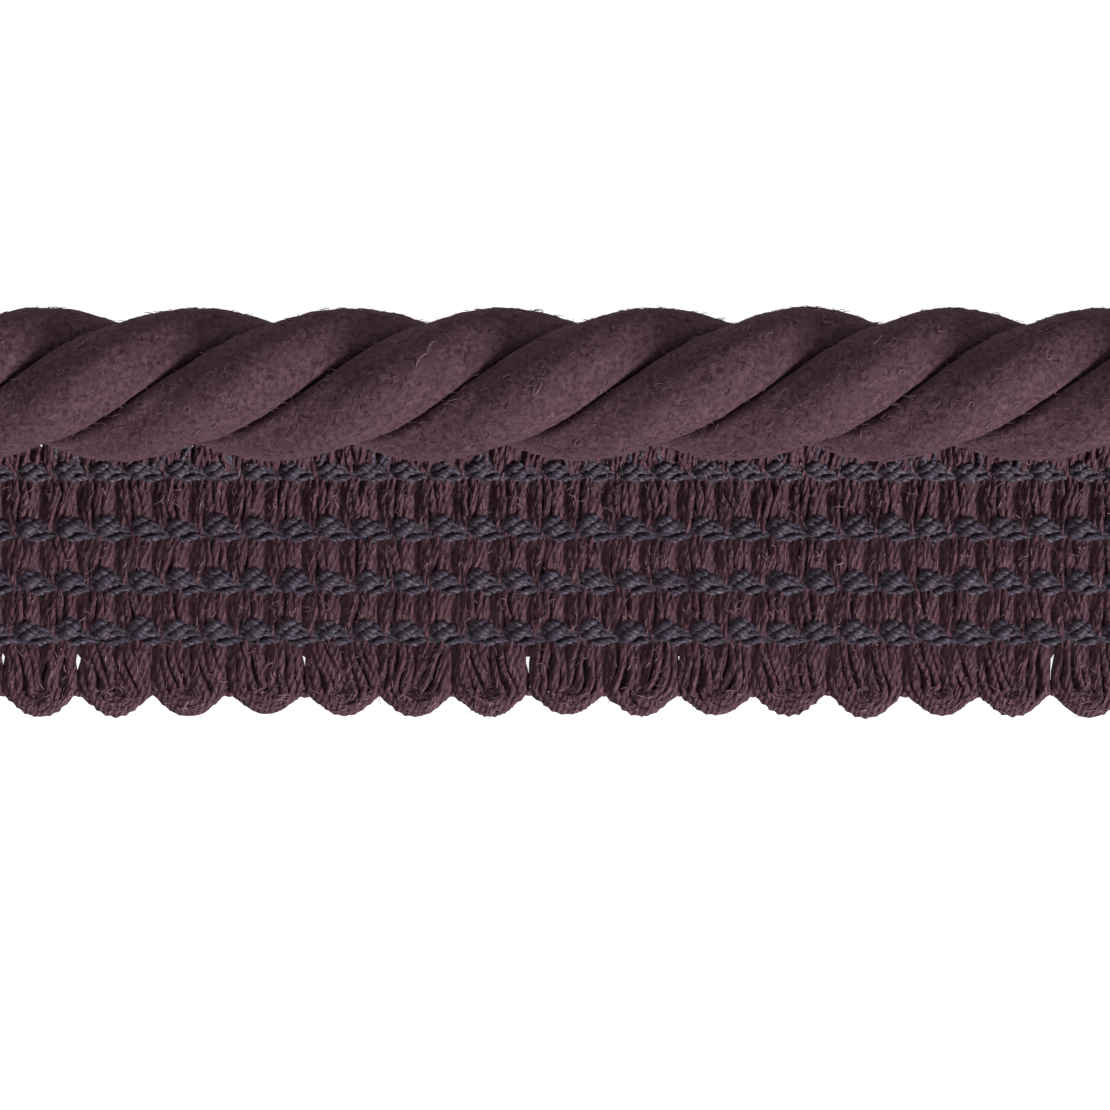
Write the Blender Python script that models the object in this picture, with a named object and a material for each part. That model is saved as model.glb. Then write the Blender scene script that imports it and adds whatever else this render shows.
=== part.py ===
"""Lip cord trim: a three-strand twisted cord held along the edge of a knitted lip.

The trim lies face up on a flat surface, as a straight cut length. X runs along it, the cord is on
the +Y side and the lip reaches to -Y. The origin is under the middle of the whole trim.

The lip is crochet-knitted: each weft pass crosses it as one rib, turns back at the free edge in
a round picot, and is held by four rows of chain stitches. Everything repeats along X, so lengths
butt end to end: a stitch is one weft pass, a picot is two and a strand of the cord is four.
"""

import math
from typing import NamedTuple

import bmesh
import bpy
from mathutils import Vector

MM = 0.001


class ChainSection(NamedTuple):
    place: float  # along the stitch, from 0 to 1
    half_width: float
    top: float  # above the lip's underside
    shift: float  # towards the cord



# The repeat along the trim
STITCH = 2.35 * MM
STITCHES = 40
STITCHES_PER_PICOT = 2
STITCHES_PER_STRAND = 4
LENGTH = STITCH * STITCHES

# Across the trim
WIDTH = 25.4 * MM  # from the cord's outer side to the picots' tips
CLEARANCE = 0.35 * MM  # between neighbouring pieces

# Cord: round strands, pressed into each other and twisted tight
STRANDS = 3
CORD_RADIUS = 4.75 * MM
STRAND_RADIUS = 2.7 * MM
LAY = STRANDS * STITCHES_PER_STRAND * STITCH  # one full turn of a strand
CREST_X = -1.45 * MM  # where the first strand faces away from the lip
PRESSED = 0.2 * MM  # how far the cord's underside is flattened by its own weight
CORD_STEPS_PER_STRAND = 8
SIDES_PER_STRAND = 8

STRAND_CENTRE = CORD_RADIUS - STRAND_RADIUS
CORD_Y = WIDTH / 2 - CORD_RADIUS
CORD_Z = CORD_RADIUS - PRESSED

# Lip: flat on the surface, then rising to meet the cord's lower flank
SEAM_Y = 4.1 * MM  # the edge that the cord is caught on
RISE_START_Y = 0.5 * MM
SEAM_RISE = 1.1 * MM
PICOT_DEPTH = 1.25 * MM
PICOT_VALLEY_Y = -WIDTH / 2 + PICOT_DEPTH
PICOT_NECK_Y = -9.2 * MM  # between the last chain row and the picots' round part
CHAIN_ROWS_Y = (3.0 * MM, -1.05 * MM, -4.45 * MM, -7.55 * MM)

# Heights above the lip's underside
FURROW = 1.0 * MM  # the weft passes are pulled down under a chain row
GROOVE = 1.2 * MM  # between two weft passes
CREST = 1.5 * MM  # along the middle of a pass, between the chain rows
EDGE = 0.7 * MM  # at the picots' rounded edge
FURROW_HALF_WIDTH = 0.75 * MM
LIP_STEPS_PER_STITCH = 4

# Chain stitches: each rises from a narrow tail to a round head, slanting towards the cord
CHAIN_UNDERSIDE = FURROW + CLEARANCE
CHAIN_STITCH = (
    ChainSection(place=0.00, half_width=0.30 * MM, top=1.60 * MM, shift=-0.20 * MM),
    ChainSection(place=0.30, half_width=0.52 * MM, top=1.86 * MM, shift=-0.10 * MM),
    ChainSection(place=0.62, half_width=0.64 * MM, top=2.08 * MM, shift=0.06 * MM),
    ChainSection(place=0.88, half_width=0.50 * MM, top=2.02 * MM, shift=0.20 * MM),
)

# Finishes: base colour and roughness
YARN = ("plum_yarn", (0.070, 0.033, 0.043), 0.95)
THREAD = ("navy_thread", (0.042, 0.040, 0.062), 0.55)


def clear_scene():
    for obj in list(bpy.data.objects):
        bpy.data.objects.remove(obj)


def finish_of(name, colour, roughness):
    """The named material, made the first time it is asked for."""
    material = bpy.data.materials.get(name)
    if material is not None:
        return material
    material = bpy.data.materials.new(name)
    material.use_nodes = True
    shader = material.node_tree.nodes["Principled BSDF"]
    shader.inputs["Base Color"].default_value = (*colour, 1.0)
    shader.inputs["Roughness"].default_value = roughness
    shader.inputs["Metallic"].default_value = 0.0
    return material


def loft(name, rings, finish):
    """A closed solid through rings of points that run along +X. Each ring turns from +Y to +Z."""
    shape = bmesh.new()
    layers = [[shape.verts.new(point) for point in ring] for ring in rings]
    for near, far in zip(layers, layers[1:]):
        for i, corner in enumerate(near):
            shape.faces.new((near[i - 1], corner, far[i], far[i - 1]))
    shape.faces.new(reversed(layers[0]))
    shape.faces.new(layers[-1])
    bmesh.ops.recalc_face_normals(shape, faces=shape.faces)
    mesh = bpy.data.meshes.new(name)
    shape.to_mesh(mesh)
    shape.free()
    mesh.materials.append(finish_of(*finish))
    mesh.shade_smooth()
    mesh.set_sharp_from_angle(angle=math.radians(40))
    obj = bpy.data.objects.new(name, mesh)
    bpy.context.scene.collection.objects.link(obj)
    return obj


def flatten_underside(obj):
    """Cuts off what would press below the surface, which leaves small flat spots to rest on."""
    shape = bmesh.new()
    shape.from_mesh(obj.data)
    everything = [*shape.verts, *shape.edges, *shape.faces]
    bmesh.ops.bisect_plane(
        shape, geom=everything, plane_co=(0, 0, 0), plane_no=(0, 0, -1), clear_outer=True
    )
    open_edges = [edge for edge in shape.edges if edge.is_boundary]
    bmesh.ops.holes_fill(shape, edges=open_edges, sides=0)
    shape.to_mesh(obj.data)
    shape.free()


def stations(count):
    """count + 1 even places along the trim, from its -X end to its +X end."""
    return [LENGTH * (i / count - 0.5) for i in range(count + 1)]


# Cord


def cord_reach(turn):
    """From the cord's axis to its surface, at an angle from the middle of a strand."""
    across = STRAND_CENTRE * math.sin(turn)
    return STRAND_CENTRE * math.cos(turn) + math.sqrt(STRAND_RADIUS**2 - across**2)


def cord_ring(x):
    """The cord's section at x. Seen from above its strands run up towards +X, an S lay."""
    twist = -math.tau * (x - CREST_X) / LAY
    ring = []
    for strand in range(STRANDS):
        middle = twist + math.tau * strand / STRANDS
        for side in range(SIDES_PER_STRAND):
            turn = (side / SIDES_PER_STRAND - 0.5) * math.tau / STRANDS
            reach = cord_reach(turn)
            angle = middle + turn
            ring.append(
                Vector((x, CORD_Y + reach * math.cos(angle), CORD_Z + reach * math.sin(angle)))
            )
    return ring


def make_cord():
    steps = STITCHES // STITCHES_PER_STRAND * CORD_STEPS_PER_STRAND
    flatten_underside(loft("cord", [cord_ring(x) for x in stations(steps)], YARN))


# Lip


def on_lip(x, y, height):
    """A point at a height above the lip's underside, which curves up towards the seam edge."""
    run = SEAM_Y - RISE_START_Y
    share = max(0.0, (y - RISE_START_Y) / run)
    rise = SEAM_RISE * share**2
    slope = math.atan2(2 * SEAM_RISE * share, run)
    return Vector((x, y - height * math.sin(slope), rise + height * math.cos(slope)))


def picot_edge(x):
    """How far the free edge reaches at x: round picots, one to every two weft passes."""
    across = (x / STITCH / STITCHES_PER_PICOT) % 1
    return PICOT_VALLEY_Y - PICOT_DEPTH * math.sqrt(1 - (2 * across - 1) ** 2)


def weft_height(step):
    """The lip's height between the chain rows: low between two weft passes, round along one."""
    across = step % LIP_STEPS_PER_STITCH / LIP_STEPS_PER_STITCH
    return GROOVE + (CREST - GROOVE) * math.sqrt(math.sin(math.pi * across))


def lip_ring(step, x):
    """The lip's outline at x: its face from the free edge to the seam, then its underside back."""
    crest = weft_height(step)
    edge = picot_edge(x)
    face = [(edge, EDGE), ((edge + PICOT_NECK_Y) / 2, crest), (PICOT_NECK_Y, crest)]
    rows = list(reversed(CHAIN_ROWS_Y))
    for row, row_above in zip(rows, [*rows[1:], None]):
        face += [(row - FURROW_HALF_WIDTH, FURROW), (row + FURROW_HALF_WIDTH, FURROW)]
        if row_above is not None:
            face.append(((row + row_above) / 2, crest))
    face.append((SEAM_Y, FURROW))
    rising_part = (SEAM_Y, (SEAM_Y + RISE_START_Y) / 2, RISE_START_Y)
    underside = [(y, 0.0) for y in (*rising_part, edge)]
    return [on_lip(x, y, height) for y, height in reversed(face + underside)]


def make_lip():
    places = stations(STITCHES * LIP_STEPS_PER_STITCH)
    loft("lip", [lip_ring(step, x) for step, x in enumerate(places)], YARN)


# Chain rows


def chain_ring(row_y, x, section):
    """One section of a chain row: flat below, with rounded shoulders."""
    foot = 0.8 * section.half_width
    crown = 0.4 * section.half_width
    middle = (CHAIN_UNDERSIDE + section.top) / 2
    outline = (
        (foot, CHAIN_UNDERSIDE),
        (section.half_width, middle),
        (crown, section.top),
        (-crown, section.top),
        (-section.half_width, middle),
        (-foot, CHAIN_UNDERSIDE),
    )
    return [on_lip(x, row_y + section.shift + y, height) for y, height in outline]


def make_chain_row(number, row_y):
    rings = []
    for start in stations(STITCHES)[:-1]:
        for section in CHAIN_STITCH:
            rings.append(chain_ring(row_y, start + section.place * STITCH, section))
    rings.append(chain_ring(row_y, LENGTH / 2, CHAIN_STITCH[0]))
    loft(f"chain_row_{number}", rings, THREAD)


def main():
    clear_scene()
    make_cord()
    make_lip()
    for number, row_y in enumerate(CHAIN_ROWS_Y, start=1):
        make_chain_row(number, row_y)


main()
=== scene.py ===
"""The looks of a lip cord trim: brushed strands, weft yarns, picot turns and chain stitches.

X runs along the trim, the cord lies on the +Y side and the lip's face is up. Lengths are in metres.
"""

import math

import bpy
import numpy as np
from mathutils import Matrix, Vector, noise


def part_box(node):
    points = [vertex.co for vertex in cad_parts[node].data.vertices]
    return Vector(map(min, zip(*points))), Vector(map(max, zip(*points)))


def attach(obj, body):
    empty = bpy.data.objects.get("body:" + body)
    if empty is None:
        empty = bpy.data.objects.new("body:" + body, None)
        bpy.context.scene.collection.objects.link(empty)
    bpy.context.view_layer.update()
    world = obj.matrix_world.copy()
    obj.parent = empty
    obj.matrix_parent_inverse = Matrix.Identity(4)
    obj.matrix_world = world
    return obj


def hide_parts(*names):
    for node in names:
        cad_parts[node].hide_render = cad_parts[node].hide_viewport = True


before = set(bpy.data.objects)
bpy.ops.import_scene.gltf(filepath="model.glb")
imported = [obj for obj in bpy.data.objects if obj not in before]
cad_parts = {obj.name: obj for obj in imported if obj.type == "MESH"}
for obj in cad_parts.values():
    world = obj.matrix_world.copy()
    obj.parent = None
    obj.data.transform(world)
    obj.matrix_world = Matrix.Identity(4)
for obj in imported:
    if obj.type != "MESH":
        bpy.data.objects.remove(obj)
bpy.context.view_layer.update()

MM = 0.001
X, Y, Z = np.eye(3)

# The repeat along the trim, taken from the frame's lip
STITCHES = 40
STITCHES_PER_PICOT = 2
STITCHES_PER_STRAND = 4
lip_low, lip_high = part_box("lip")
LENGTH = lip_high.x - lip_low.x
START_X = lip_low.x
STITCH = LENGTH / STITCHES
PICOT = STITCH * STITCHES_PER_PICOT
PICOTS = STITCHES // STITCHES_PER_PICOT

# Cord, on the frame's axis
STRANDS = 3
CORD_RADIUS = 4.75 * MM
STRAND_RADIUS = 2.7 * MM
STRAND_CENTRE = CORD_RADIUS - STRAND_RADIUS
LAY = STRANDS * STITCHES_PER_STRAND * STITCH
CREST_X = -1.45 * MM
GROOVE_FILL = 0.30 * MM  # the brushed pile makes a strand fuller beside its grooves
cord_low, cord_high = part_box("cord")
CORD_Y = cord_high.y - CORD_RADIUS
CORD_Z = cord_high.z - CORD_RADIUS
CUT_DEPTH = 0.45 * MM  # how far the strand's skin stops short of its cut yarn ends

# Lip, with its rise towards the cord
RISE_START_Y = 0.5 * MM
RISE_RUN = 3.6 * MM
SEAM_RISE = 1.1 * MM
CHAIN_ROWS_Y = (3.12 * MM, -0.88 * MM, -4.22 * MM, -7.42 * MM)
FURROW_SHIFT = -0.50 * MM  # the chain lies on the upper side of its furrow

# Each weft pass is a flat bundle of plies
PLIES = 10
PLY_RADIUS = 0.25 * MM
BUNDLE_HALF_WIDTH = 0.82 * MM
BUNDLE_HALF_HEIGHT = 0.43 * MM
BUNDLE_HEIGHT = 0.74 * MM  # of its middle above the lip's underside
WEFT_TOP_Y = 6.2 * MM  # under the cord, where the passes run up into its grooves

# Each picot is that bundle's turn, drawn round and twisted half over
PICOT_START_Y = -7.9 * MM
PICOT_CENTRE_Y = -10.95 * MM
PICOT_TURN = 1.04 * MM
PICOT_DROP = 1.02 * MM
PICOT_HALF_WIDTH = 0.60 * MM
PICOT_SHOULDER = 0.50 * MM  # wider where the picots press on each other
PICOT_FOOT = 0.44 * MM  # and wider again in the lower plies
PICOT_HALF_HEIGHT = 0.45 * MM

# Between the picots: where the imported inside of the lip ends, and the plies that close a valley
OPEN_SLIT_Y = -8.0 * MM
CLOSED_SLIT_Y = -10.9 * MM
OPEN_SLIT_SHARE = 0.4
GROUND_TOP = 0.78 * MM
GROUND_BOTTOM = 0.54 * MM
GROUND_EDGE_Y = 4.4 * MM  # its edge under the cord
VALLEY_HALF_WIDTH = 0.95 * MM

# A chain stitch: where it starts and how far it reaches along its weft pass, and its two legs
CHAIN_START = 0.40 * STITCH
CHAIN_REACH = 0.48 * STITCH
CHAIN_LOW_Y = -0.32 * MM
CHAIN_SLANT = 0.74 * MM
CHAIN_FOOT_HEIGHT = 0.60 * MM
CHAIN_ARCH = 0.74 * MM
CHAIN_THIN = 0.16 * MM
CHAIN_PLUMP = 0.18 * MM  # how much thicker a leg is in its middle

# The photographed frame: its width on the trim, and the trim's point at its middle
PHOTO_WIDTH = 69.4 * MM
PHOTO_MIDDLE = (1.66 * MM, -2.66 * MM)


# Meshes


def unevenness(points, size, seed):
    """Smooth noise from about -1 to 1 at each point, with features of that size."""
    places = points.reshape(-1, 3) / size + 17.3 * seed
    values = [noise.noise(place) for place in places.tolist()]
    return np.array(values).reshape(points.shape[:-1])


def along_noise(x, size, seed):
    """Smooth noise that depends on one length alone."""
    x = np.asarray(x, float)
    return unevenness(np.stack([x, 0 * x, 0 * x], -1), size, seed)


def unit(vectors):
    """The same directions at length 1."""
    return vectors / np.linalg.norm(vectors, axis=-1, keepdims=True)


def smooth_step(share):
    """Eases a share from 0 to 1, level at both ends."""
    share = np.clip(share, 0, 1)
    return share * share * (3 - 2 * share)


def rings_round(paths, radius, sides, reference, lobes=0, depth=0.0, turn_length=1.0):
    """Rings round each path of paths, which is (tubes, points, 3).

    With lobes, each ring is lobed like plies twisted together, one full turn in turn_length.
    """
    tangent = unit(np.gradient(paths, axis=1))
    across = unit(np.cross(reference, tangent))
    up = np.cross(tangent, across)
    steps = np.linalg.norm(np.diff(paths, axis=1), axis=-1)
    run = np.concatenate([np.zeros((len(paths), 1)), np.cumsum(steps, axis=1)], axis=1)
    angle = np.arange(sides) * math.tau / sides
    twist = math.tau * run[..., None] / turn_length
    reach = np.asarray(radius)[..., None] * (1 + depth * np.cos(lobes * (angle - twist)))
    return (
        paths[:, :, None]
        + across[:, :, None] * (reach * np.cos(angle))[..., None]
        + up[:, :, None] * (reach * np.sin(angle))[..., None]
    )


def closed_tubes(name, rings, finish):
    """A mesh of closed tubes from rings, (tubes, rings, sides, 3), right-handed along each tube."""
    sides = rings.shape[2]
    index = np.arange(rings[..., 0].size).reshape(rings.shape[:3])
    near, far = index[:, :-1], index[:, 1:]
    walls = np.stack([near, np.roll(near, -1, 2), np.roll(far, -1, 2), far], -1).reshape(-1, 4)
    caps = np.concatenate([index[:, 0, ::-1], index[:, -1]])
    sizes = np.concatenate([np.full(len(walls), 4), np.full(len(caps), sides)])
    corners = np.concatenate([walls.ravel(), caps.ravel()])
    mesh = bpy.data.meshes.new(name)
    mesh.vertices.add(index.size)
    mesh.vertices.foreach_set("co", rings.astype(np.float32).ravel())
    mesh.loops.add(len(corners))
    mesh.loops.foreach_set("vertex_index", corners.astype(np.int32))
    mesh.polygons.add(len(sizes))
    mesh.polygons.foreach_set("loop_start", (np.cumsum(sizes) - sizes).astype(np.int32))
    mesh.update(calc_edges=True)
    mesh.shade_smooth()
    mesh.set_sharp_from_angle(angle=math.radians(70))
    mesh.materials.append(finish)
    piece = bpy.data.objects.new(name, mesh)
    bpy.context.scene.collection.objects.link(piece)
    return piece


def fibres(name, roots, outward, along, length, thickness, finish, seed, lift=0.35, points=3):
    """Short loose hairs: each leaves its root, bows away from the surface and curls sideways."""
    rng = np.random.default_rng(seed)
    count = len(roots)
    sideways = np.cross(outward, along)
    share = np.linspace(0, 1, points)[None, :, None]
    reach = rng.uniform(0.45, 1.0, (count, 1, 1)) * length
    bow = rng.uniform(0.15, 1.0, (count, 1, 1)) * lift * reach
    curl = rng.normal(0, 0.28, (count, 1, 1)) * reach
    paths = (
        roots[:, None]
        + along[:, None] * reach * share
        + outward[:, None] * bow * np.sin(share * rng.uniform(1.6, 3.0, (count, 1, 1)))
        + sideways[:, None] * curl * share**2
    )
    paths[..., 2] = np.maximum(paths[..., 2], thickness)
    taper = thickness * (1 - 0.55 * share[..., 0]) * rng.uniform(0.7, 1.2, (count, 1))
    return closed_tubes(name, rings_round(paths, taper, 3, outward[:, None]), finish)


# Finishes


def place(tree, kind, **values):
    """A node with its inputs set by name; underscores stand for spaces."""
    node = tree.nodes.new(kind)
    for socket, value in values.items():
        node.inputs[socket.replace("_", " ")].default_value = value
    return node


def fibre_group():
    """Node group: fine grain and broad patches of a fibrous surface, and its height for bump."""
    group = bpy.data.node_groups.new("fibre_grain", "ShaderNodeTree")
    face = group.interface
    face.new_socket("Grain Scale", in_out="INPUT", socket_type="NodeSocketFloat")
    face.new_socket("Patch Scale", in_out="INPUT", socket_type="NodeSocketFloat")
    face.new_socket("Stretch", in_out="INPUT", socket_type="NodeSocketVector")
    face.new_socket("Grain", in_out="OUTPUT", socket_type="NodeSocketFloat")
    face.new_socket("Patches", in_out="OUTPUT", socket_type="NodeSocketFloat")
    face.new_socket("Height", in_out="OUTPUT", socket_type="NodeSocketFloat")
    given = group.nodes.new("NodeGroupInput")
    result = group.nodes.new("NodeGroupOutput")
    where = group.nodes.new("ShaderNodeTexCoord")
    drawn_out = group.nodes.new("ShaderNodeVectorMath")
    drawn_out.operation = "MULTIPLY"
    grain = place(group, "ShaderNodeTexNoise", Detail=4.0, Roughness=0.62, Distortion=0.4)
    patches = place(group, "ShaderNodeTexNoise", Detail=2.0, Roughness=0.5)
    sharpen = place(group, "ShaderNodeMapRange", From_Min=0.36, From_Max=0.66)
    spread = place(group, "ShaderNodeMapRange", From_Min=0.35, From_Max=0.65)
    group.links.new(where.outputs["Object"], drawn_out.inputs[0])
    group.links.new(given.outputs["Stretch"], drawn_out.inputs[1])
    for texture, scale in ((grain, "Grain Scale"), (patches, "Patch Scale")):
        group.links.new(drawn_out.outputs["Vector"], texture.inputs["Vector"])
        group.links.new(given.outputs[scale], texture.inputs["Scale"])
    group.links.new(grain.outputs["Fac"], sharpen.inputs["Value"])
    group.links.new(patches.outputs["Fac"], spread.inputs["Value"])
    group.links.new(sharpen.outputs["Result"], result.inputs["Grain"])
    group.links.new(spread.outputs["Result"], result.inputs["Patches"])
    group.links.new(grain.outputs["Fac"], result.inputs["Height"])
    return group


FIBRE_GRAIN = fibre_group()


def twist_group():
    """Node group: slanting marks from 0 to 1, as plies show that are twisted together."""
    group = bpy.data.node_groups.new("ply_twist", "ShaderNodeTree")
    face = group.interface
    face.new_socket("Slant", in_out="INPUT", socket_type="NodeSocketVector")
    face.new_socket("Scale", in_out="INPUT", socket_type="NodeSocketFloat")
    face.new_socket("Marks", in_out="OUTPUT", socket_type="NodeSocketFloat")
    given = group.nodes.new("NodeGroupInput")
    result = group.nodes.new("NodeGroupOutput")
    where = group.nodes.new("ShaderNodeTexCoord")
    slanted = group.nodes.new("ShaderNodeVectorMath")
    slanted.operation = "MULTIPLY"
    marks = place(group, "ShaderNodeTexWave", Distortion=4.5, Detail=2.0, Detail_Scale=1.3)
    marks.bands_direction = "DIAGONAL"
    group.links.new(where.outputs["Object"], slanted.inputs[0])
    group.links.new(given.outputs["Slant"], slanted.inputs[1])
    group.links.new(slanted.outputs["Vector"], marks.inputs["Vector"])
    group.links.new(given.outputs["Scale"], marks.inputs["Scale"])
    group.links.new(marks.outputs["Fac"], result.inputs["Marks"])
    return group


PLY_TWIST = twist_group()


def blend_colours(tree, factor, first, second):
    """A Mix node between two colours, each a tuple or an output socket."""
    mix = tree.nodes.new("ShaderNodeMix")
    mix.data_type = "RGBA"
    tree.links.new(factor, mix.inputs["Factor"])
    for socket, colour in ((mix.inputs[6], first), (mix.inputs[7], second)):
        if isinstance(colour, tuple):
            socket.default_value = (*colour, 1.0)
        else:
            tree.links.new(colour, socket)
    return mix.outputs[2]


def yarn_finish(
    name, dark, light, tint, roughness, sheen, grain_scale, patch_scale, relief,
    specular=0.3, stretch=(1.0, 1.0, 1.0), twist=None,
):
    """Fibrous yarn: dark and light grain, broad patches of a tint, and a fine relief.

    A twist is the slant and scale of its plies' marks, which deepen the relief and paint shade into
    the colour along the grooves between plies.
    """
    material = bpy.data.materials.new(name)
    material.use_nodes = True
    tree = material.node_tree
    shader = tree.nodes["Principled BSDF"]
    shader.inputs["Roughness"].default_value = roughness
    shader.inputs["Specular IOR Level"].default_value = specular
    shader.inputs["Sheen Weight"].default_value = sheen
    shader.inputs["Sheen Roughness"].default_value = 0.45
    shader.inputs["Sheen Tint"].default_value = (*(min(1.0, 6 * c) for c in light), 1.0)
    grain = tree.nodes.new("ShaderNodeGroup")
    grain.node_tree = FIBRE_GRAIN
    grain.inputs["Grain Scale"].default_value = grain_scale
    grain.inputs["Patch Scale"].default_value = patch_scale
    grain.inputs["Stretch"].default_value = stretch
    fine = blend_colours(tree, grain.outputs["Grain"], dark, light)
    weight = place(tree, "ShaderNodeMapRange", From_Min=0.0, From_Max=1.0, To_Min=0.0, To_Max=0.6)
    tree.links.new(grain.outputs["Patches"], weight.inputs["Value"])
    colour = blend_colours(tree, weight.outputs["Result"], fine, tint)
    height = grain.outputs["Height"]
    if twist is not None:
        marks = tree.nodes.new("ShaderNodeGroup")
        marks.node_tree = PLY_TWIST
        marks.inputs["Slant"].default_value, marks.inputs["Scale"].default_value = twist
        # Painted shade: the colour darkens towards the dark grain in the low grooves of the twist
        # marks.
        furrow = place(tree, "ShaderNodeMapRange", From_Max=0.7, To_Min=0.6, To_Max=0.0)
        tree.links.new(marks.outputs["Marks"], furrow.inputs["Value"])
        colour = blend_colours(tree, furrow.outputs["Result"], colour, dark)
        both = tree.nodes.new("ShaderNodeMath")
        tree.links.new(grain.outputs["Height"], both.inputs[0])
        tree.links.new(marks.outputs["Marks"], both.inputs[1])
        height = both.outputs["Value"]
    tree.links.new(colour, shader.inputs["Base Color"])
    bump = place(tree, "ShaderNodeBump", Strength=0.8, Distance=relief)
    tree.links.new(height, bump.inputs["Height"])
    tree.links.new(bump.outputs["Normal"], shader.inputs["Normal"])
    return material


CORD_YARN = yarn_finish(
    "brushed_plum_yarn",
    dark=(0.030, 0.012, 0.017),
    light=(0.104, 0.055, 0.069),
    tint=(0.058, 0.029, 0.037),
    roughness=0.92,
    sheen=0.16,
    grain_scale=3000,
    patch_scale=950,
    relief=0.12 * MM,
    specular=0.15,
)
CORD_HAIR = yarn_finish(
    "plum_nap",
    dark=(0.055, 0.026, 0.033),
    light=(0.120, 0.068, 0.082),
    tint=(0.080, 0.042, 0.052),
    roughness=0.8,
    sheen=0.05,
    grain_scale=900,
    patch_scale=300,
    relief=0.01 * MM,
)
WEFT_YARN = yarn_finish(
    "plum_weft_yarn",
    dark=(0.024, 0.008, 0.012),
    light=(0.142, 0.061, 0.080),
    tint=(0.060, 0.023, 0.034),
    roughness=0.8,
    sheen=0.05,
    grain_scale=4200,
    patch_scale=1300,
    relief=0.09 * MM,
    stretch=(1.0, 0.55, 1.0),
    twist=((1.6, -0.6, 0.0), 1050.0),
)
# Pale loose hairs, and painted highlights: short filaments lying flat on the weft plies take this
# light colour as painted glints.
PALE_HAIR_AND_GLINT = yarn_finish(
    "pale_plum_hair_and_painted_glint",
    dark=(0.055, 0.025, 0.033),
    light=(0.26, 0.150, 0.170),
    tint=(0.090, 0.042, 0.053),
    roughness=0.6,
    sheen=0.05,
    grain_scale=700,
    patch_scale=300,
    relief=0.01 * MM,
)
CHAIN_THREAD = yarn_finish(
    "navy_filament_thread",
    dark=(0.014, 0.010, 0.018),
    light=(0.110, 0.084, 0.118),
    tint=(0.040, 0.025, 0.046),
    roughness=0.55,
    sheen=0.05,
    grain_scale=4400,
    patch_scale=430,
    relief=0.08 * MM,
    specular=0.35,
    stretch=(0.7, 1.0, 1.0),
    twist=((0.9, 1.3, 0.0), 1150.0),
)


# Cord


def strand_reach(turn):
    """From a strand's centre to its surface, at an angle from the cord's radius."""
    flank_angle = np.abs(turn) - math.pi / STRANDS
    flank = STRAND_CENTRE * math.sin(math.pi / STRANDS) / np.maximum(np.sin(flank_angle), 1e-3)
    flank = np.where(flank_angle > 0, flank, 10 * STRAND_RADIUS)
    round_side = STRAND_RADIUS + GROOVE_FILL * smooth_step((np.abs(turn) - 1.05) / 0.65)
    return (round_side**-9.0 + flank**-9.0) ** (-1 / 9)


def strand_place(x, turn, strand, reach_share=1.0, proud=0.0):
    """Points on or in a strand, and the way out of its surface there."""
    twist = -math.tau * (x - CREST_X) / LAY + math.tau * strand / STRANDS
    twist = twist + 0.13 * along_noise(x, 19 * MM, 3)
    plump = 1 + 0.045 * along_noise(x, 7 * MM, 5 + strand)
    reach = strand_reach(turn) * plump * reach_share + proud
    outward = np.stack([0 * twist, np.cos(twist), np.sin(twist)], -1)
    sideways = np.stack([0 * twist, -np.sin(twist), np.cos(twist)], -1)
    facing = outward * np.cos(turn)[..., None] + sideways * np.sin(turn)[..., None]
    axis = np.stack([x, 0 * x + CORD_Y, 0 * x + CORD_Z], -1)
    return axis + outward * STRAND_CENTRE + facing * reach[..., None], facing


def make_strand(strand, steps=400, sides=54):
    """One brushed strand, uneven along its length and flat where it rests."""
    x = np.linspace(START_X + CUT_DEPTH, START_X + LENGTH - CUT_DEPTH, steps)[:, None]
    x = x + np.zeros((1, sides))
    turn = np.arange(sides) * math.tau / sides - math.pi + np.zeros((steps, 1))
    points, facing = strand_place(x, turn, strand)
    nap = 0.07 * unevenness(points, 1.1 * MM, strand) + 0.06 * unevenness(points, 0.45 * MM, 9)
    points += facing * (nap * MM)[..., None]
    points[..., 0] = x
    points[..., 2] = np.maximum(points[..., 2], 0.0)
    return closed_tubes(f"cord_strand_{strand + 1}", points[None], CORD_YARN)


def make_cord_nap(strand, count=2900):
    """The brushed hairs of one strand, lying mostly along the surface."""
    rng = np.random.default_rng(40 + strand)
    x = rng.uniform(START_X + 0.8 * MM, START_X + LENGTH - 0.8 * MM, count)
    turn = rng.uniform(-1.9, 1.9, count)
    roots, facing = strand_place(x, turn, strand)
    keep = roots[:, 2] > 0.7 * MM
    roots, facing = roots[keep], facing[keep]
    heading = rng.normal(0, 1, roots.shape)
    heading = unit(heading - facing * (heading * facing).sum(-1, keepdims=True))
    return fibres(
        f"cord_nap_{strand + 1}", roots - 0.01 * MM * facing, facing, heading,
        0.62 * MM, 0.030 * MM, CORD_HAIR, 50 + strand, lift=0.15,
    )


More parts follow.
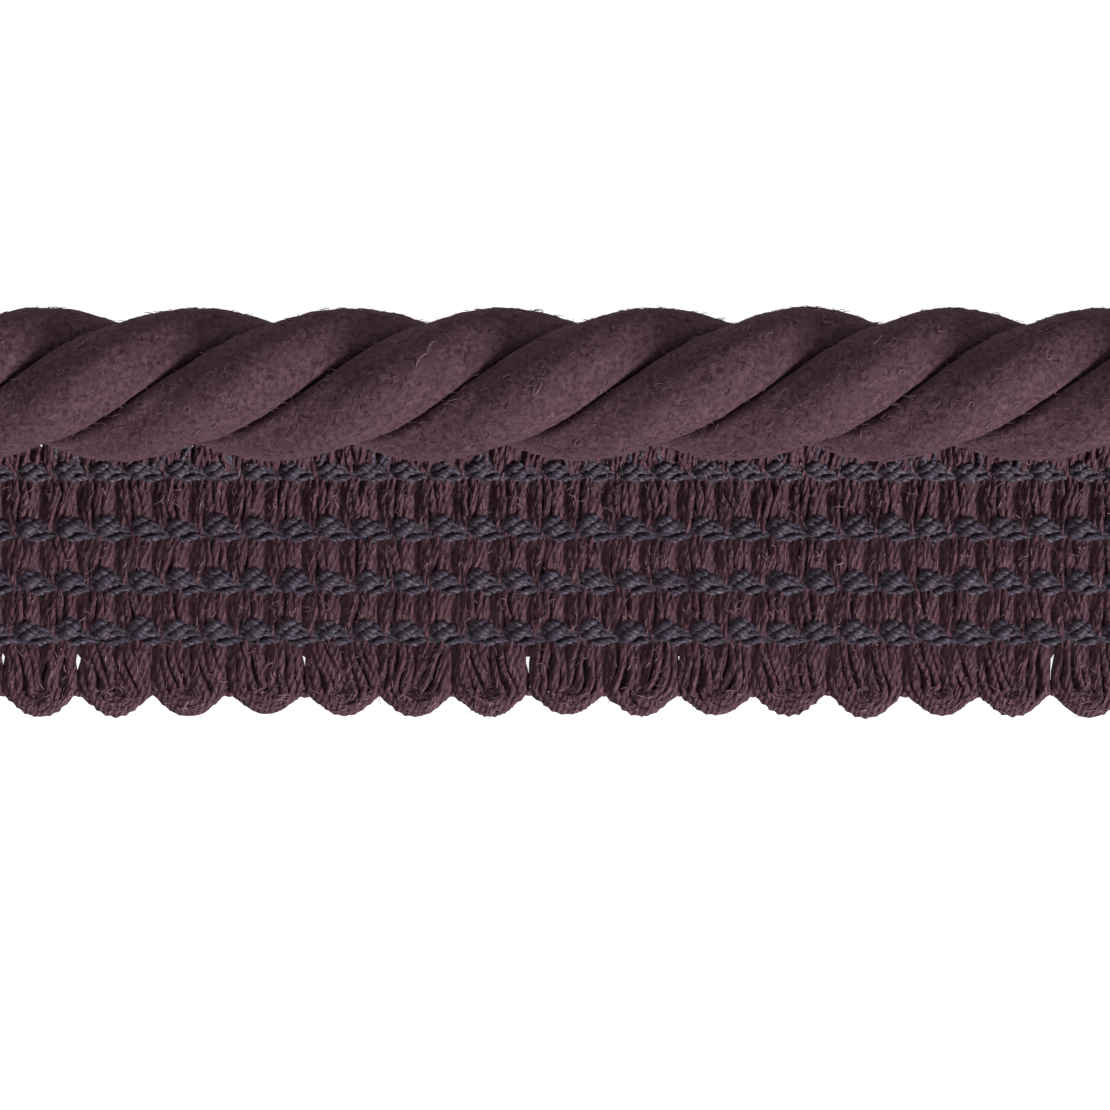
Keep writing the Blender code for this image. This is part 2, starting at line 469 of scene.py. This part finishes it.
def make_stray_fibres(count=70):
    """A few pale fibres that have worked loose from the cord and curl on its face."""
    rng = np.random.default_rng(47)
    share = np.linspace(0, 1, 9)
    paths = []
    for number in range(count):
        x = rng.uniform(START_X + 2 * MM, START_X + LENGTH - 2 * MM)
        size = rng.uniform(0.25, 0.6) * MM
        bend = rng.uniform(2.0, 5.0) * rng.choice([-1, 1])
        heading = rng.uniform(0, math.tau)
        across = np.cumsum(np.cos(heading + bend * share)) / len(share) * size * 2.4
        along = np.cumsum(np.sin(heading + bend * share)) / len(share) * size * 2.4
        turn = rng.uniform(-1.2, 1.2) + across / STRAND_RADIUS
        lift = (0.03 + 0.16 * np.sin(math.pi * share) * rng.uniform(0.3, 1)) * MM
        points, facing = strand_place(x + along, turn, number % STRANDS, proud=lift)
        if points[:, 2].min() > 1.5 * MM:
            paths.append(points)
    paths = np.array(paths)
    rings = rings_round(paths, 0.030 * MM * (1 - 0.4 * share) + 0 * paths[..., 0], 4, Z)
    return closed_tubes("cord_stray_fibres", rings, PALE_HAIR_AND_GLINT)


def make_cut_yarns(end, rings_of_yarns=(1, 6, 12, 17)):
    """The yarn ends that show where the cord is cut, packed round in each strand."""
    rng = np.random.default_rng(70 + end)
    paths = []
    for strand in range(STRANDS):
        for ring, yarns in enumerate(rings_of_yarns):
            for yarn in range(yarns):
                turn = math.tau * (yarn + 0.4 * ring) / yarns - math.pi
                turn = (turn + math.pi) % math.tau - math.pi
                depth = np.array([-0.6, 0.2, 0.86, 1.0])
                proud = CUT_DEPTH * rng.uniform(0.45, 1.0)
                x = (LENGTH / 2 - CUT_DEPTH + depth * proud) * end
                share = 0.97 * ring / (len(rings_of_yarns) - 0.45)
                points, facing = strand_place(x, turn + 0 * x, strand, share)
                points += rng.normal(0, 0.05 * MM, 3)
                points[:, 2] = np.maximum(points[:, 2], 0.32 * MM)
                paths.append(points)
    paths = np.array(paths)
    radius = np.array([1.0, 1.0, 0.94, 0.66]) * 0.37 * MM + np.zeros((len(paths), 1))
    side = "plus_x" if end > 0 else "minus_x"
    return closed_tubes(f"cord_cut_yarns_{side}", rings_round(paths, radius, 7, Z), CORD_YARN)


# Lip


def on_lip(x, y, height):
    """Points at a height above the lip's underside, which curves up towards the cord."""
    share = np.clip((y - RISE_START_Y) / RISE_RUN, 0.0, 1.6)
    slope = np.arctan2(2 * SEAM_RISE * share, RISE_RUN)
    lift = SEAM_RISE * share**2
    return np.stack([x, y - height * np.sin(slope), lift + height * np.cos(slope)], -1)


def pressed(y, half_width):
    """From 0 to 1: how hard the chain rows press on the weft at each place across the lip."""
    furrows = [row + FURROW_SHIFT for row in CHAIN_ROWS_Y]
    return np.clip(sum(np.exp(-(((y - furrow) / half_width) ** 2)) for furrow in furrows), 0, 1)


def picot_offsets():
    """Each picot's own shift along the trim, reach and twist, as uneven as knitted ones are."""
    rng = np.random.default_rng(7)
    shift = rng.normal(0, 0.13 * MM, PICOTS)
    reach = np.clip(rng.normal(0, 0.09 * MM, PICOTS), -0.2 * MM, 0.2 * MM)
    twist = rng.choice([-5, -4, -3, 3, 4, 5], PICOTS) * math.tau / PLIES
    return zip(shift, reach, twist)


def weft_paths(leg_points=36, turn_points=17):
    """The route of each ply: from the cord down to its picot, round it and back up."""
    rng = np.random.default_rng(11)
    down = np.linspace(WEFT_TOP_Y, PICOT_CENTRE_Y, leg_points)
    round_it = np.linspace(0, math.pi, turn_points + 2)[1:-1]
    course_y = np.concatenate([down, np.full(turn_points, PICOT_CENTRE_Y), down[::-1]])
    angle = np.concatenate([np.zeros(leg_points), round_it, np.full(leg_points, math.pi)])
    steps = np.hypot(np.diff(course_y), np.diff(angle) * PICOT_TURN)
    run = np.concatenate([[0], np.cumsum(steps)])
    to_turn = smooth_step((course_y - PICOT_START_Y) / (PICOT_CENTRE_Y - PICOT_START_Y))
    press = pressed(course_y, 0.80 * MM)
    beside = np.abs(np.cos(angle)) ** 12 * to_turn**1.15
    half_width = BUNDLE_HALF_WIDTH + (PICOT_HALF_WIDTH - BUNDLE_HALF_WIDTH) * to_turn
    half_width = half_width + PICOT_SHOULDER * beside
    half_height = BUNDLE_HALF_HEIGHT + (PICOT_HALF_HEIGHT - BUNDLE_HALF_HEIGHT) * to_turn
    half_height = half_height * (1 - 0.72 * press)
    offset = STITCH / 2 + (PICOT_TURN - STITCH / 2) * to_turn
    turned = smooth_step((run / run[-1] - 0.36) / 0.28)
    paths = []
    for number, (shift, reach, twist) in enumerate(picot_offsets()):
        middle_x = START_X + PICOT * (number + 0.5) + shift * to_turn
        middle_y = course_y - (PICOT_DROP + reach) * np.sin(angle)
        sway = 0.7 * along_noise(run, 3.1 * MM, 500 + number)
        for ply in range(PLIES):
            seed = PLIES * number + ply
            roll = math.tau * (ply + 0.5) / PLIES + twist * turned
            roll = roll + sway + 0.30 * along_noise(run, 1.6 * MM, seed)
            across = half_width * np.cos(roll) + 0.06 * MM * along_noise(run, 1.1 * MM, 3 + seed)
            across = across + PICOT_FOOT * beside * np.maximum(0, -np.sin(roll))
            up = half_height * np.sin(roll) + 0.07 * MM * along_noise(run, 1.2 * MM, 5 + seed)
            level = BUNDLE_HEIGHT + up - 0.18 * MM * press - 0.03 * MM * to_turn
            level = level + 0.05 * MM * rng.normal() * to_turn
            x = middle_x - np.cos(angle) * (offset + across)
            y = middle_y - np.sin(angle) * across
            paths.append(on_lip(x, y, level))
    return np.array(paths)


def make_weft():
    """All plies, in two pieces: one of every other picot."""
    paths = weft_paths()
    run = np.arange(paths.shape[1]) * 0.45 * MM
    thick = np.array([1 + 0.22 * along_noise(run, 2.1 * MM, 31 + i) for i in range(len(paths))])
    rings = rings_round(
        paths, PLY_RADIUS * thick, 8, Z, lobes=2, depth=0.27, turn_length=1.15 * MM
    )
    rings[..., 2] = np.maximum(rings[..., 2], 0.0)
    odd = np.arange(len(paths)) // PLIES % 2 == 1
    return (
        closed_tubes("weft_plies_1", rings[~odd], WEFT_YARN),
        closed_tubes("weft_plies_2", rings[odd], WEFT_YARN),
    )


def make_ground():
    """The lip's packed inside, between the face and back plies.

    It reaches into each picot and stops short between some of them, where a slit stays open.
    """
    steps, rows = 320, 20
    rng = np.random.default_rng(13)
    shares = [OPEN_SLIT_SHARE, 1 - OPEN_SLIT_SHARE]
    notches = rng.choice([OPEN_SLIT_Y, CLOSED_SLIT_Y], PICOTS + 1, p=shares)
    x = np.linspace(START_X + 0.2 * MM, START_X + LENGTH - 0.2 * MM, steps)[:, None]
    along = (x - START_X) / PICOT
    notch = notches[np.rint(along).astype(int)]
    picot_low = PICOT_CENTRE_Y - 0.3 * MM
    edge_low = notch + (picot_low - notch) * (1 - np.abs(2 * (along % 1) - 1) ** 6)
    share = np.linspace(0, 1, rows)[None, :]
    y = GROUND_EDGE_Y + (edge_low - GROUND_EDGE_Y) * share
    x, y = np.broadcast_arrays(x, y)
    top = on_lip(x, y, GROUND_TOP + 0 * x)
    bottom = on_lip(x, y, GROUND_BOTTOM + 0 * x)
    rings = np.concatenate([top, bottom[:, ::-1]], axis=1)
    return closed_tubes("lip_ground", rings[None], WEFT_YARN)


def make_valley_plies():
    """Short plies that pass under from one picot to the next and round off their valley."""
    rng = np.random.default_rng(17)
    share = np.linspace(-1, 1, 9)
    paths = []
    for number in range(1, PICOTS):
        middle = START_X + PICOT * number + rng.normal(0, 0.05 * MM)
        low = PICOT_CENTRE_Y - rng.uniform(0.25, 0.40) * MM
        for layer in range(2):
            x = middle + VALLEY_HALF_WIDTH * share
            y = low + 0.30 * MM * share**2 - 0.04 * MM * layer
            paths.append(on_lip(x, y, (0.36 + 0.34 * layer) * MM + 0 * x))
    rings = rings_round(
        np.array(paths), 0.23 * MM, 8, Z, lobes=2, depth=0.2, turn_length=1.1 * MM
    )
    return closed_tubes("weft_valley_plies", rings, WEFT_YARN)


def make_weft_hairs(name, count, length, thickness, spread, lift, seed):
    """Loose filaments of the weft yarn, on the lip's face and round its picots; in their pale
    finish the short flat ones are painted glints.
    """
    rng = np.random.default_rng(seed)
    paths = weft_paths()
    tube = rng.integers(0, len(paths), 2 * count)
    spot = rng.integers(5, paths.shape[1] - 5, 2 * count)
    upper = paths[tube, spot][:, 2] > 0.82 * MM
    tube, spot = tube[upper], spot[upper]
    along = unit(paths[tube, spot + 1] - paths[tube, spot - 1])
    outward = unit(Z + rng.normal(0, 0.45, along.shape))
    roots = paths[tube, spot] + outward * PLY_RADIUS
    heading = unit(along * rng.choice([-1, 1], (len(tube), 1)) + rng.normal(0, spread, roots.shape))
    heading = unit(heading - outward * (heading * outward).sum(-1, keepdims=True))
    return fibres(
        name, roots, outward, heading, length, thickness, PALE_HAIR_AND_GLINT, seed + 1, lift=lift
    )


# Chain stitches


def chain_paths(row_y, seed):
    """The two legs of each stitch: up out of the lip, slanting over a weft pass and down again."""
    rng = np.random.default_rng(seed)
    share = np.linspace(-0.12, 1.12, 13)
    inside = np.clip(share, 0, 1)
    arch = np.sin(math.pi * inside**1.2) ** 0.8
    paths = []
    for stitch in range(STITCHES):
        start = START_X + STITCH * stitch + CHAIN_START + rng.normal(0, 0.07 * MM)
        drift = rng.normal(0, 0.06 * MM)
        steep = rng.normal(1, 0.15)
        for leg in (-1, 1):
            x = start + CHAIN_REACH * share - 0.13 * MM * leg
            slant = (CHAIN_LOW_Y + CHAIN_SLANT * inside) * steep
            opening = (0.10 + 0.12 * np.sin(math.pi * inside)) * MM
            y = row_y + drift + slant + leg * opening
            arched = (CHAIN_ARCH - 0.05 * MM * leg) * arch
            height = CHAIN_FOOT_HEIGHT + arched + rng.normal(0, 0.04 * MM)
            paths.append(on_lip(x, y, height))
    return np.array(paths)


def make_chain_row(number, row_y):
    """The plied legs of one row's stitches, thin at their ends and plump over the weft."""
    rng = np.random.default_rng(80 + number)
    paths = chain_paths(row_y, 60 + number)
    taper = CHAIN_THIN + CHAIN_PLUMP * np.sin(np.linspace(0, math.pi, paths.shape[1]))
    radius = taper * rng.normal(1, 0.10, (len(paths), 1))
    stitches = rings_round(paths, radius, 12, -Y, lobes=4, depth=0.16, turn_length=1.9 * MM)
    return closed_tubes(f"chain_stitches_{number}", stitches, CHAIN_THREAD)


def make_chain_feet(number, row_y):
    """The low run of thread that ties each stitch to the next, along its row."""
    x = np.linspace(START_X, START_X + LENGTH, 6 * STITCHES + 1)
    phase = math.tau * (x - START_X) / STITCH
    legs = []
    for side, lag in ((-1, 0.0), (0, math.pi / 2), (1, math.pi)):
        y = row_y - 0.28 * MM + 0.42 * MM * side + 0.12 * MM * np.sin(phase + lag)
        height = (0.76 + 0.07 * np.cos(phase + lag)) * MM
        legs.append(on_lip(x, y, height))
    rings = rings_round(np.array(legs), 0.24 * MM, 7, Z, lobes=2, depth=0.20, turn_length=1.1 * MM)
    return closed_tubes(f"chain_feet_{number}", rings, CHAIN_THREAD)


def make_chain_back(number, row_y):
    """The stitches' loops on the lip's back, low enough for the lip to lie on."""
    rng = np.random.default_rng(90 + number)
    share = np.linspace(0, 1, 9)
    paths = []
    for stitch in range(STITCHES):
        x = START_X + STITCH * (stitch + 0.10 + 0.92 * share) + rng.normal(0, 0.04 * MM)
        y = row_y + (0.26 - 0.44 * share) * MM + rng.normal(0, 0.03 * MM)
        height = (0.20 + 0.35 * (2 * share - 1) ** 6) * MM
        paths.append(on_lip(np.minimum(x, START_X + LENGTH - 0.1 * MM), y, height))
    rings = rings_round(np.array(paths), 0.19 * MM, 8, Z, lobes=2, depth=0.14, turn_length=1.6 * MM)
    return closed_tubes(f"chain_back_{number}", rings, CHAIN_THREAD)


def make_seam_loops(name, count, finish, seed):
    """Loops from the first chain row that catch the cord and show in its grooves."""
    rng = np.random.default_rng(seed)
    share = np.linspace(0, 1, 9)
    paths = []
    for x in np.sort(rng.uniform(START_X + 0.5 * MM, START_X + LENGTH - 0.5 * MM, count)):
        low_y, high_y = rng.uniform(3.1, 3.9) * MM, rng.uniform(4.6, 5.2) * MM
        lean = rng.normal(0.1, 0.35) * MM
        y = low_y + (high_y - low_y) * share
        height = (0.95 + rng.uniform(0.2, 0.5) * np.sin(math.pi * share) ** 0.7) * MM
        paths.append(on_lip(x + lean * share**1.5, y, height))
    radius = rng.uniform(0.13, 0.22, (count, 1)) * MM + 0 * share
    rings = rings_round(np.array(paths), radius, 8, X, lobes=2, depth=0.25, turn_length=1.1 * MM)
    return closed_tubes(name, rings, finish)


def make_thread_tails():
    """Cut ends of the chain threads, a little past the lip's cut edges."""
    rng = np.random.default_rng(44)
    share = np.linspace(0, 1, 8)
    paths = []
    for end in (-1, 1):
        for row_y in CHAIN_ROWS_Y:
            for leg in (-1, 1):
                run = rng.uniform(0.5, 1.3) * MM
                x = (LENGTH / 2 - 0.9 * MM + (0.9 * MM + run) * share) * end
                bend = rng.normal(0, 0.35) * MM
                y = row_y + 0.17 * MM * leg + bend * share**2
                height = (1.35 - 0.35 * share + rng.normal(0, 0.08)) * MM
                paths.append(on_lip(x, y, height))
    radius = 0.21 * MM * (1 - 0.3 * share**4) + np.zeros((len(paths), 1))
    rings = rings_round(np.array(paths), radius, 8, Z, lobes=3, depth=0.14, turn_length=1.3 * MM)
    return closed_tubes("thread_tails", rings, CHAIN_THREAD)


# Stage


def make_floor():
    """A white table: it looks white to the camera, and gives the trim back only a little light."""
    bpy.ops.mesh.primitive_plane_add(size=4.0, location=(0, 0, -0.02 * MM))
    floor = bpy.context.object
    floor.name = "floor"
    material = bpy.data.materials.new("white_table")
    material.use_nodes = True
    tree = material.node_tree
    shader = tree.nodes["Principled BSDF"]
    shader.inputs["Base Color"].default_value = (0.30, 0.30, 0.30, 1.0)
    shader.inputs["Roughness"].default_value = 0.9
    shader.inputs["Specular IOR Level"].default_value = 0.0
    shader.inputs["Emission Color"].default_value = (1.0, 1.0, 1.0, 1.0)
    seen = tree.nodes.new("ShaderNodeLightPath")
    glow = place(tree, "ShaderNodeMapRange", To_Min=0.25, To_Max=0.93)
    tree.links.new(seen.outputs["Is Camera Ray"], glow.inputs["Value"])
    tree.links.new(glow.outputs["Result"], shader.inputs["Emission Strength"])
    floor.data.materials.append(material)


def make_light(name, place_at, size, power):
    """A square soft light that faces the middle of the trim."""
    light = bpy.data.lights.new(name, "AREA")
    light.size = size
    light.energy = power
    lamp = bpy.data.objects.new(name, light)
    lamp.location = place_at
    lamp.rotation_euler = (-lamp.location).to_track_quat("-Z", "Y").to_euler()
    bpy.context.scene.collection.objects.link(lamp)


def make_studio():
    scene = bpy.context.scene
    scene.view_settings.view_transform = "Standard"
    world = bpy.data.worlds.new("studio")
    world.use_nodes = True
    world.node_tree.nodes["Background"].inputs["Color"].default_value = (1, 1, 1, 1)
    world.node_tree.nodes["Background"].inputs["Strength"].default_value = 0.29
    scene.world = world
    make_light("key", (0.76, -0.68, 0.54), 0.38, 22.5)
    make_light("fill", (-0.22, 0.28, 0.45), 0.40, 0.9)


def make_camera():
    """Straight down, as the photo was taken, with a long lens."""
    lens, sensor = 180.0, 36.0
    data = bpy.data.cameras.new("camera")
    data.lens, data.sensor_width = lens, sensor
    camera = bpy.data.objects.new("camera", data)
    camera.location = (*PHOTO_MIDDLE, PHOTO_WIDTH * lens / sensor + 2.0 * MM)
    bpy.context.scene.collection.objects.link(camera)
    bpy.context.scene.camera = camera


def ride_in(piece, slot, *nodes):
    """The piece rides on the trim's one body and takes the place of the frame's nodes."""
    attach(piece, "root")
    if nodes:
        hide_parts(*nodes)
    return piece


def main():
    make_camera()
    make_studio()
    make_floor()
    for strand in range(STRANDS):
        ride_in(make_strand(strand), "cord_yarn", "cord")
        ride_in(make_cord_nap(strand), "cord_yarn")
    ride_in(make_stray_fibres(), "cord_yarn")
    for end in (-1, 1):
        ride_in(make_cut_yarns(end), "cord_yarn")
    ground = ride_in(make_ground(), "weft_yarn", "lip")
    dressing = [ride_in(piece, "weft_yarn") for piece in (*make_weft(), make_valley_plies())]
    # Painted highlight: short, flat, pale filaments along the plies stand in for glints on the weft
    # yarn.
    filaments = make_weft_hairs(
        "weft_painted_glint_filaments", count=8500, length=0.52 * MM, thickness=0.045 * MM,
        spread=0.35, lift=0.14, seed=21,
    )
    hairs = make_weft_hairs(
        "weft_hairs", count=1300, length=1.0 * MM, thickness=0.022 * MM,
        spread=0.6, lift=0.35, seed=25,
    )
    dressing += [ride_in(piece, "weft_yarn") for piece in (filaments, hairs)]
    for number, row_y in enumerate(CHAIN_ROWS_Y, start=1):
        ride_in(make_chain_row(number, row_y), "chain_thread", f"chain_row_{number}")
        ride_in(make_chain_feet(number, row_y), "chain_thread")
        ride_in(make_chain_back(number, row_y), "chain_thread")
    seam_threads = make_seam_loops("seam_threads", count=70, finish=CHAIN_THREAD, seed=33)
    seam_weft = make_seam_loops("seam_weft_loops", count=200, finish=WEFT_YARN, seed=35)
    ride_in(seam_threads, "chain_thread")
    ride_in(seam_weft, "weft_yarn")
    ride_in(make_thread_tails(), "chain_thread")


main()
bpy.context.view_layer.update()
